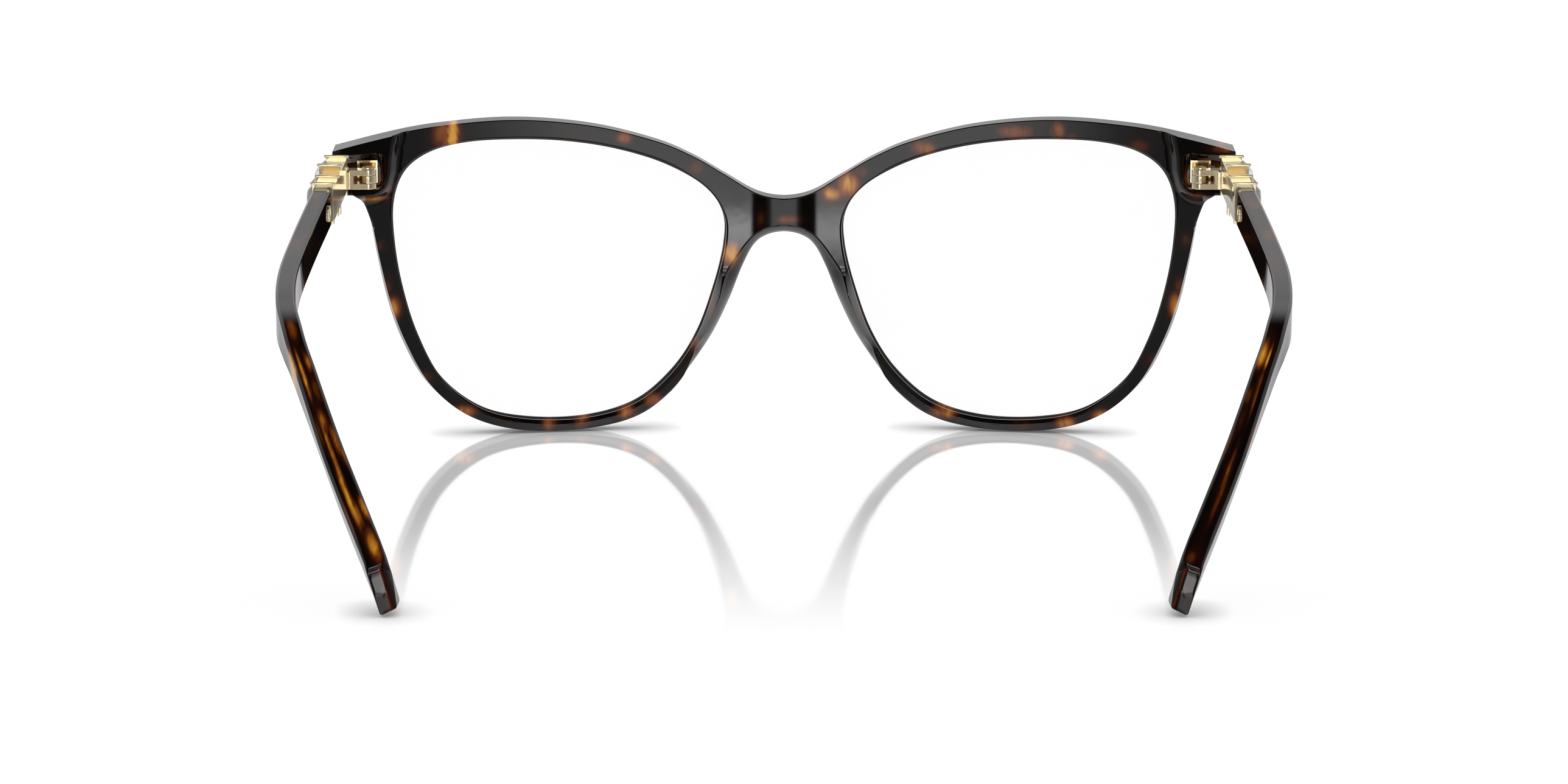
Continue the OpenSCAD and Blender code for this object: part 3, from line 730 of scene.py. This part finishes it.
def make_front():
    """Front with its hinge pockets and its nose side cut, and its amber clouds, with a painted glow
    in the pockets, stored per point.
    """
    points, quads = front_mesh()
    obj = put_mesh("front_rims", points, quads.tolist(), front_acetate)
    saddle = saddle_cutter()
    # A second slot tells the faces of the saddle's cut from the others
    for owner in (obj, saddle, saddle):
        owner.data.materials.append(front_acetate)
    saddle.data.polygons.foreach_set("material_index", np.ones(len(saddle.data.polygons), np.int32))
    cutters = [pocket_cutter(side) for side in (1, -1)] + [saddle]
    for cutter in cutters:
        cut = obj.modifiers.new("cut", "BOOLEAN")
        cut.operation = "DIFFERENCE"
        cut.solver = "EXACT"
        cut.object = cutter
    ready = obj.evaluated_get(bpy.context.evaluated_depsgraph_get())
    mesh = bpy.data.meshes.new_from_object(ready)
    obj.modifiers.clear()
    obj.data = mesh
    for cutter in cutters:
        bpy.data.objects.remove(cutter)
    mesh.polygons.foreach_set("use_smooth", np.ones(len(mesh.polygons), bool))
    mesh.set_sharp_from_angle(angle=math.radians(24))
    places = points_of(obj)
    soften_wall(mesh, places)
    sharpen_saddle(mesh)
    mesh.materials.pop(index=1)
    amber = clouds(places[:, 0], places[:, 2], FRONT_AMBER, 1.4)
    # The amber attribute holds the pattern's clouds and, in the pockets, the painted glow of light
    # through the acetate
    set_float(obj, "amber", np.maximum(amber, painted_pocket_glow(places)))
    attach(obj, "front")
    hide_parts("front_frame", "nose_pad_left", "nose_pad_right")


make_front()

# Temples: a rounded oblong carried along the temple's middle line

# Middle line of the right temple: where it starts, then [out from the hinge axis, back from it, up
# from the floor]
TEMPLE_START = np.array([70.0, 33.28, 40.64])
TEMPLE_POINTS = [
    (7, 44, 37.9), (7.7, 63, 35.7), (7.1, 77, 33.8), (5.6, 86, 31.9), (3.2, 92.5, 27.4),
    (-2.1, 105, 16.9), (-7.8, 117.5, 6.5), (-8.62, 119.32, 4.93),
]
# Thickness, height, height at the tip, and width of the chamfers
TEMPLE_T, TEMPLE_H, TIP_H = 2.9, 5.8, 7.4
TEMPLE_ROUND = 0.44
# The drop: growth of its half thickness, and its turn about its own line in degrees
DROP_SWELL = 0.22
DROP_TWIST = 6.5
# Radius in plan of the inner corner at the front end
HEAD_ROUND = 0.8
# End of the tip: radii of the end face's rim and of the roll at the top, how far the toe runs on,
# and the share by which it spreads
TIP_ROUND = 0.12
TIP_TOP = 1.5
TIP_TOE = 2.05
TIP_SPREAD = 0.11
# Inner side of the tip: growth of the top chamfer, how far the lower part is drawn in and lifted,
# radius towards the end face, and slope of that face's lower part
TIP_BEVEL = 1.0
TIP_DRAW = 0.7
TIP_LIFT = 0.35
TIP_CORNER = 1.6
TIP_LEAN = 0.19
# Points of a section on each corner
CORNER = 9


def temple_sections():
    """Sections of the right temple from front to tip: middle, side and up directions, half
    thickness, half height, how far the inner side is drawn in, size, and backward direction at the
    tip. The drop turns a little about its own line. At the tip the lower edge swings forward round
    the end of the middle line while the top edge rolls over a small arc, and a flat face with a
    rounded rim ends it."""
    knots = np.array(TEMPLE_POINTS) * [1, -1, 1] + [HINGE[0], HINGE[1], 0]
    line = smooth_curve(np.vstack([TEMPLE_START, knots]), steps=28)
    run = run_of(line)
    even = np.linspace(0, run[-1], 250)
    index = np.interp(even, run, np.linspace(0, 1, len(line)))
    line = at_run(line, run, even)
    t = np.gradient(line, axis=0)
    t /= np.linalg.norm(t, axis=1, keepdims=True)
    grow = np.clip((index - 0.45) / 0.55, 0, 1)
    half_h = (TEMPLE_H + (TIP_H - TEMPLE_H) * grow**2 * (3 - 2 * grow)) / 2
    half_t = TEMPLE_T / 2 + DROP_SWELL * ease(70, 100, even)
    up = np.cross(t, [1.0, 0, 0])
    up /= np.linalg.norm(up, axis=1, keepdims=True)
    side = np.cross(t, up)
    twist = np.radians(DROP_TWIST) * ease(66, 92, even)[:, None]
    side, up = side * np.cos(twist) + up * np.sin(twist), up * np.cos(twist) - side * np.sin(twist)
    # Rows crowd at the front end, whose inner corner is rounded in plan
    near = HEAD_ROUND * (1 - np.cos(np.radians(np.linspace(4, 90, 12))))
    inset = HEAD_ROUND - np.sqrt(HEAD_ROUND**2 - (HEAD_ROUND - near) ** 2)
    keep = even > HEAD_ROUND * 1.1
    first = np.zeros(len(near), int)
    # Swing of the sections at the tip, then the rounded rim of the end face
    r = TIP_H / 2
    turn = np.radians(np.linspace(6, 84, 14))[:, None]
    ahead, over = t[-1], up[-1]
    share = turn / turn[-1]
    lean = math.radians(45) * share
    top = line[-1] + over * (r - TIP_TOP * (1 - np.cos(lean))) + ahead * TIP_TOP * np.sin(lean)
    low = line[-1] + ahead * (r * np.sin(turn) + TIP_TOE * share**2)
    low -= over * r * np.cos(turn) * (1 + TIP_SPREAD * share)
    stand = (top - low) / np.linalg.norm(top - low, axis=1, keepdims=True)
    tall = np.linalg.norm(top - low, axis=1) / 2
    out = np.cross(stand[-1], side[-1])
    out *= np.sign(out @ ahead)
    rim = np.radians([20, 40, 60, 78, 90, 90, 90, 90, 90])[:, None]
    end = (top[-1] + low[-1]) / 2 + out * TIP_ROUND * np.sin(rim)
    shrink = TIP_ROUND * (1 - np.cos(rim[:, 0]))
    inward = [0.8, 0.6, 0.35, 0.12]
    size = np.ones(len(near) + keep.sum() + len(turn) + len(rim) - len(inward))
    size = np.concatenate([size, inward])
    last = np.repeat(len(line) - 1, len(turn) + len(rim))
    middle = np.vstack([line[0] + t[0] * near[:, None], line[keep], (top + low) / 2, end])
    sides = np.vstack([side[first], side[keep], side[last]])
    ups = np.vstack([up[first], up[keep], stand, np.repeat(stand[-1:], len(rim), 0)])
    thick = [half_t[first], half_t[keep], half_t[last[:len(turn)]], half_t[-1] - shrink]
    thick = np.concatenate(thick)
    high = np.concatenate([half_h[first], half_h[keep], tall, tall[-1] - shrink])
    inset = np.concatenate([inset, np.zeros(len(middle) - len(near))])
    back = np.concatenate([np.zeros(len(near) + keep.sum()), share[:, 0] ** 2, np.ones(len(rim))])
    return middle, sides, ups, thick, high, inset, size, back[:, None] * -out


def temple_mesh():
    """Grid of points over the right temple, the length along it of each section, and the place of
    each point in its section: four straight sides joined by chamfers or quarter circles."""
    middle, side, up, half_t, half_h, inset, size, back = temple_sections()
    run = run_of(middle)
    tip = ease(112, run[-1], run)[:, None]
    r = np.full((len(middle), 4), TEMPLE_ROUND)
    r[:, 0] += TIP_BEVEL * ease(106, 114, run)
    r = np.repeat(r, CORNER, 1)
    turn = np.radians(np.concatenate([np.linspace(90 * k, 90 * k + 90, CORNER) for k in range(4)]))
    corner_x = np.repeat([1, -1, -1, 1], CORNER)[None]
    corner_z = np.repeat([1, 1, -1, -1], CORNER)[None]
    r = np.minimum(r, half_t[:, None])
    # Corners are nearly flat chamfers, which turn into quarter circles at the tip
    flat_turn = np.concatenate([np.linspace(0, 1, CORNER)] * 4)
    ends = np.radians(np.repeat([0, 90, 180, 270], CORNER))
    cos = np.cos(ends) * (1 - flat_turn) - np.sin(ends) * flat_turn
    sin = np.sin(ends) * (1 - flat_turn) + np.cos(ends) * flat_turn
    even = 0.8 - 0.8 * ease(104, 110, run)[:, None]
    a = corner_x * (half_t[:, None] - r) + r * ((1 - even) * np.cos(turn) + even * cos)
    b = corner_z * (half_h[:, None] - r) + r * ((1 - even) * np.sin(turn) + even * sin)
    inner = (a / half_t[:, None] + 1) / 2
    high = np.clip(b / half_h[:, None], -1, 1)
    a -= inner * (inset[:, None] + TIP_DRAW * tip * (1 - ease(-1, 0.6, high)))
    b += TIP_LIFT * tip * inner**2 * (1 - high) / 2
    shift = -inset[:, None] / 2
    a, b = shift + (a - shift) * size[:, None], b * size[:, None]
    # Extra columns on the flat sides carry the amber clouds
    ring = np.stack([a, b], -1).reshape(len(middle), 4, CORNER, 2)
    parts = np.linspace(0, 1, 9)[1:-1][None, None, :, None]
    gap = np.roll(ring, -1, axis=1)[:, :, :1] - ring[:, :, -1:]
    ring = np.concatenate([ring, ring[:, :, -1:] + gap * parts], 2).reshape(len(middle), -1, 2)
    points = middle[:, None] + ring[..., :1] * side[:, None] + ring[..., 1:] * up[:, None]
    # The end face is rounded off towards the inner side, and its lower part leans back
    gap = np.clip(TIP_CORNER - (TEMPLE_T / 2 + DROP_SWELL - ring[..., :1]), 0, TIP_CORNER)
    behind = TIP_CORNER - np.sqrt(TIP_CORNER**2 - gap**2)
    behind += TIP_LEAN * np.clip(-ring[..., 1:] - 0.2, 0, None)
    return points + behind * back[:, None], run, ring


# Amber streaks of each temple: [place along, place across, half length, half width, strength]
TEMPLE_AMBER = {
    "left": [
        (66.2, 0.1, 2.3, 0.7, 0.6), (72.3, 1.4, 3, 0.25, 0.95), (75.4, 0.5, 4.6, 0.28, 1.0),
        (73, -0.7, 2.2, 0.45, 0.6), (78.2, -0.6, 2.5, 0.6, 0.35), (84, -0.1, 2.2, 0.6, 0.6),
        (91, 0.2, 8, 0.3, 0.9), (87.7, -0.9, 3.5, 0.5, 0.6), (91, -1.2, 2.5, 0.3, 0.5),
        (86, 0.9, 3, 0.3, 0.4), (98.5, 0.35, 6.5, 0.4, 0.95), (101, -1.2, 2.4, 0.45, 0.85),
        (101.7, -0.1, 3, 0.5, 0.6), (107.6, -0.5, 3.4, 0.9, 0.7), (101.7, 1.35, 4, 0.2, 0.45),
        (114, -0.1, 2.2, 0.7, 0.3), (4, 0.4, 2.5, 0.8, 0.4), (9, -0.3, 2, 0.6, 0.3),
        (30, 0, 5, 1.3, 0.25),
    ],
    "right": [
        (71.5, -0.7, 2.8, 0.6, 0.85), (71.8, 0.2, 2.6, 0.2, 0.95), (78.6, 0.3, 5, 0.14, 0.5),
        (77.5, -0.1, 4, 0.14, 0.4), (79.5, -0.8, 2, 0.5, 0.35), (84, -0.7, 2.5, 0.5, 0.25),
        (88.5, -1.2, 3, 0.35, 0.4), (93, 0.0, 5, 0.28, 0.55), (98, 0.2, 5.5, 0.3, 0.46),
        (85.5, 1.45, 4, 0.15, 0.5), (110, -0.4, 1.2, 0.7, 0.4), (114.5, -0.6, 2, 0.25, 0.4),
        (114, 0.9, 2, 0.3, 0.22), (8, 0, 4, 1.2, 0.35), (24, 0.3, 5, 1.4, 0.3),
        (40, -0.2, 6, 1.3, 0.25),
    ],
}


def make_temple(name, sign):
    """Temple of one side, each end closed by a fan of faces, with its amber stored per point."""
    points, run, ring = temple_mesh()
    rows, columns = points.shape[:2]
    place = points * np.array([sign, 1.0, 1.0])
    ends = place[[0, -1]].mean(1)
    quads = grid_quads(rows, columns, False, True).reshape(-1, 4)
    j = np.arange(columns)
    jj = (j + 1) % columns
    count = rows * columns
    head = np.stack([j, np.full(columns, count), jj], 1)
    tail = np.stack([count - columns + jj, np.full(columns, count + 1), count - columns + j], 1)
    faces = [part[:, ::-sign].tolist() for part in (quads, head, tail)]
    title = f"temple_{name}_acetate"
    obj = put_mesh(title, np.vstack([place.reshape(-1, 3), ends]), sum(faces, []), temple_acetate)
    obj.data.set_sharp_from_angle(angle=math.radians(30))
    amber = clouds(run[:, None], -ring[..., 0], TEMPLE_AMBER[name], 1.3)
    set_float(obj, "amber", np.concatenate([amber.ravel(), amber[[0, -1]].mean(1)]))
    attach(obj, f"temple_{name}")
    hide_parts(f"temple_arm_{name}")


make_temple("right", 1)
make_temple("left", -1)

# Solids that keep their shape: gold, stones and lenses


def finish_node(name, material, bevel=0.0):
    """Gives a solid its finish, and softens its sharp edges with a bevel of the given width."""
    obj = nodes[name]
    obj.data.materials.clear()
    obj.data.materials.append(material)
    if bevel:
        weld = obj.modifiers.new("weld", "WELD")
        weld.merge_threshold = 1e-6
        flat = obj.modifiers.new("flat", "DECIMATE")
        flat.decimate_type = "DISSOLVE"
        flat.angle_limit = math.radians(1)
        soft = obj.modifiers.new("soft", "BEVEL")
        soft.width = bevel * MM
        soft.segments = 2
        soft.limit_method = "ANGLE"
        soft.angle_limit = math.radians(30)


for side in ("left", "right"):
    finish_node(f"lens_{side}", lens_clear)
    finish_node(f"setting_{side}", gold, 0.08)
    finish_node(f"hinge_fork_{side}", gold, 0.1)
    finish_node(f"hinge_plate_{side}", plate_gold, 0.08)
    finish_node(f"hinge_screw_{side}", gold, 0.05)
    finish_node(f"rivet_{side}", gold, 0.04)
    finish_node(f"core_wire_{side}", gold)
    for stone in ("front", "middle", "rear"):
        finish_node(f"crystal_{stone}_{side}", crystal)

# Floor, light and camera


# Floor: brightness, strongest gloss, where the gloss starts and is full (metres), its roughness,
# reach (metres) and darkness of the shadow where a piece touches, and half width (metres)
FLOOR_WHITE = 0.12
FLOOR_GLOSS = 0.86
GLOSS_FROM, GLOSS_FULL = -0.085, 0.015
GLOSS_ROUGH = 0.06
CONTACT_REACH = 0.0058
CONTACT_DARK = 0.8
FLOOR_SIZE = 6.0
# Brightness of the room ahead, low down and higher up
ROOM_AHEAD, ROOM_AHEAD_HIGH = 0.62, 0.66
# Brightness of the room behind the viewer, by the angle to either side: [degrees, brightness]
ROOM_BEHIND = [
    (0, 1.5), (2.2, 1.5), (2.8, 0.25), (3.6, 0.02), (6.0, 0.02), (6.5, 1.75), (14.6, 1.75),
    (17.4, 0.28), (20, 0.26), (26, 0.02), (45, 0.05), (60, 0.2),
]
ROOM_BEHIND_END = 60.0
# Soft-edged lights behind the viewer, in degrees: [start, full, ebb, end] of rise and angle aside
STRIP_RISE, STRIP_ASIDE = (-9.77, -9.71, -9.51, -9.45), (5.5, 7.0, 15.5, 16.5)
LOW_RISE, HIGH_RISE = (0.5, 2.0, 7.0, 8.0), (40.0, 42.0, 62.0, 66.0)
TIP_ASIDE = (7.0, 8.5, 12.5, 14.0)
STRIP_LIGHT, LOW_LIGHT, HIGH_LIGHT = 3.2, 2.8, 3.0


def make_floor():
    """White table with soft shadows. Its mirror gloss fades from the rims towards the viewer, and a
    little glow makes up for the light that the gloss takes away."""
    material = bpy.data.materials.new("white_table")
    material.use_nodes = True
    tree = material.node_tree
    tree.nodes.clear()
    link = tree.links.new
    out = tree.nodes.new("ShaderNodeOutputMaterial")
    coords = node(tree, "ShaderNodeTexCoord")
    split = node(tree, "ShaderNodeSeparateXYZ")
    link(coords.outputs["Object"], split.inputs["Vector"])
    fade = span(tree, split.outputs["Y"], GLOSS_FROM, GLOSS_FULL, 0.0, FLOOR_GLOSS, smooth=True)
    white = node(tree, "ShaderNodeBsdfDiffuse")
    white.inputs["Color"].default_value = (FLOOR_WHITE, FLOOR_WHITE, FLOOR_WHITE, 1)
    mirror = node(tree, "ShaderNodeBsdfGlossy")
    mirror.inputs["Color"].default_value = (1, 1, 1, 1)
    mirror.inputs["Roughness"].default_value = GLOSS_ROUGH
    mix = node(tree, "ShaderNodeMixShader")
    link(fade, mix.inputs["Fac"])
    link(white.outputs["BSDF"], mix.inputs[1])
    link(mirror.outputs["BSDF"], mix.inputs[2])
    glow = node(tree, "ShaderNodeEmission")
    link(span(tree, fade, 0.0, 1.0, 1.0 - FLOOR_WHITE, 1.0 - ROOM_AHEAD), glow.inputs["Strength"])
    both = node(tree, "ShaderNodeAddShader")
    link(mix.outputs["Shader"], both.inputs[0])
    link(glow.outputs["Emission"], both.inputs[1])
    near = node(tree, "ShaderNodeAmbientOcclusion", samples=8)
    near.inputs["Distance"].default_value = CONTACT_REACH
    dark = node(tree, "ShaderNodeEmission", Strength=0.0)
    last = node(tree, "ShaderNodeMixShader")
    link(span(tree, near.outputs["AO"], 0.1, 1.0, CONTACT_DARK, 0.0), last.inputs["Fac"])
    link(both.outputs["Shader"], last.inputs[1])
    link(dark.outputs["Emission"], last.inputs[2])
    link(last.outputs["Shader"], out.inputs["Surface"])
    mesh = bpy.data.meshes.new("table")
    corners = np.array([(-1, -1, 0), (1, -1, 0), (1, 1, 0), (-1, 1, 0)]) * FLOOR_SIZE
    mesh.from_pydata(corners.tolist(), [], [(0, 1, 2, 3)])
    mesh.materials.append(material)
    floor = put("table", mesh)
    floor.visible_glossy = False


def make_world():
    """White room: full white to the eye and through glass, even white for soft light. For gloss,
    the room ahead is pale low down and dark overhead. Behind the viewer it has pale panels by the
    angle to either side, above a dark band and a pale floor, a narrow strip of light at the upper
    edge of that band, and two small lights that the tips of the temples show."""
    world = bpy.data.worlds.new("white_room")
    bpy.context.scene.world = world
    world.use_nodes = True
    tree = world.node_tree
    link = tree.links.new
    back = tree.nodes["Background"]
    coords = node(tree, "ShaderNodeTexCoord")
    split = node(tree, "ShaderNodeSeparateXYZ")
    link(coords.outputs["Generated"], split.inputs["Vector"])

    def times(a, b):
        """Product of two values."""
        return maths(tree, "MULTIPLY", a, b)

    def plus(a, b):
        """Sum of two values."""
        return maths(tree, "ADD", a, b)

    def blend(a, b, share):
        """First value by the share, and the second by the rest."""
        return plus(times(a, share), times(b, maths(tree, "SUBTRACT", 1.0, share)))

    def step(value, low, high, first, last):
        """Smooth change from first at low to last at high."""
        return span(tree, value, low, high, first, last, smooth=True)

    def window(value, edges, level=1.0):
        """Soft-edged window: 0 up to the start, the level from full to ebb, 0 past the end."""
        start, full, ebb, end = edges
        return times(step(value, start, full, 0.0, level), step(value, ebb, end, 1.0, 0.0))

    x, y, z = (split.outputs[k] for k in "XYZ")
    rise = times(maths(tree, "ARCSINE", z), 180 / math.pi)
    aside = times(maths(tree, "ARCTAN2", maths(tree, "ABSOLUTE", x), times(y, -1.0)), 180 / math.pi)
    # A ramp holds values up to 1, so the panels' levels are halved in it
    stops = [(turn / ROOM_BEHIND_END, (level / 2,) * 3) for turn, level in ROOM_BEHIND]
    panels = colour_ramp(tree, maths(tree, "DIVIDE", aside, ROOM_BEHIND_END, clamp=True), stops)
    panel = times(panels, 2.0)
    dim = maths(tree, "MINIMUM", panel, 0.28)
    upper = times(step(rise, -10.5, -9.8, 0.0, 1.0), step(rise, 8.0, 25.0, 1.0, 0.3))
    lower = step(rise, -11.25, -11.05, 0.65, 0.0)
    behind = blend(panel, dim, plus(upper, lower))
    strip = times(window(rise, STRIP_RISE), window(aside, STRIP_ASIDE, STRIP_LIGHT))
    behind = times(behind, plus(strip, 1.0))
    tips = plus(window(rise, LOW_RISE, LOW_LIGHT), window(rise, HIGH_RISE, HIGH_LIGHT))
    tips = times(window(aside, TIP_ASIDE), tips)
    behind = plus(times(behind, step(rise, 42.0, 66.0, 1.0, 0.03)), tips)
    ahead = step(rise, 5.0, 25.0, ROOM_AHEAD, ROOM_AHEAD_HIGH)
    ahead = times(ahead, step(rise, 30.0, 56.0, 1.0, 0.01))
    room = blend(ahead, behind, step(y, -0.25, 0.25, 0.0, 1.0))
    under = step(rise, -35.0, -18.0, 0.7, 0.0)
    path = node(tree, "ShaderNodeLightPath")
    mix = node(tree, "ShaderNodeMix", data_type="FLOAT")
    mix.inputs["A"].default_value = 1.0
    link(path.outputs["Is Glossy Ray"], mix.inputs["Factor"])
    link(maths(tree, "MAXIMUM", room, under), mix.inputs["B"])
    link(mix.outputs["Result"], back.inputs["Strength"])
    back.inputs["Color"].default_value = (1, 1, 1, 1)


def soft_box(name, place, aim, size, power):
    """Rectangular studio lamp pointing at a place."""
    lamp = bpy.data.lights.new(name, "AREA")
    lamp.shape = "RECTANGLE"
    lamp.size, lamp.size_y = size
    lamp.energy = power
    obj = put(name, lamp)
    obj.location = place
    away = np.array(place) - np.array(aim)
    flat = math.hypot(away[0], away[1])
    obj.rotation_euler = (math.atan2(flat, away[2]), 0, math.atan2(away[0], -away[1]))
    obj.visible_glossy = False


# Camera: sensor width, focal length as pixels over the picture's width, distance behind the bridge,
# height, and dip in degrees
SENSOR = 36
FOCAL = 10867.5 / 2576 * SENSOR
CAMERA_BACK, CAMERA_UP, CAMERA_DIP = 1022.49, 204.45, 11


def make_camera():
    """Long lens behind the bridge, looking down on it a little."""
    data = bpy.data.cameras.new("camera")
    data.sensor_width = SENSOR
    data.lens = FOCAL
    data.clip_start = 0.05
    obj = put("camera", data)
    obj.location = (0, (BRIDGE_Y - CAMERA_BACK) * MM, CAMERA_UP * MM)
    obj.rotation_euler = (math.radians(90 - CAMERA_DIP), 0, 0)
    bpy.context.scene.camera = obj


make_floor()
make_world()
soft_box("key", (0, 0.15, 0.9), (0, 0, 0), (1.0, 0.5), 0.4)
make_camera()
bpy.context.scene.view_settings.view_transform = "Standard"
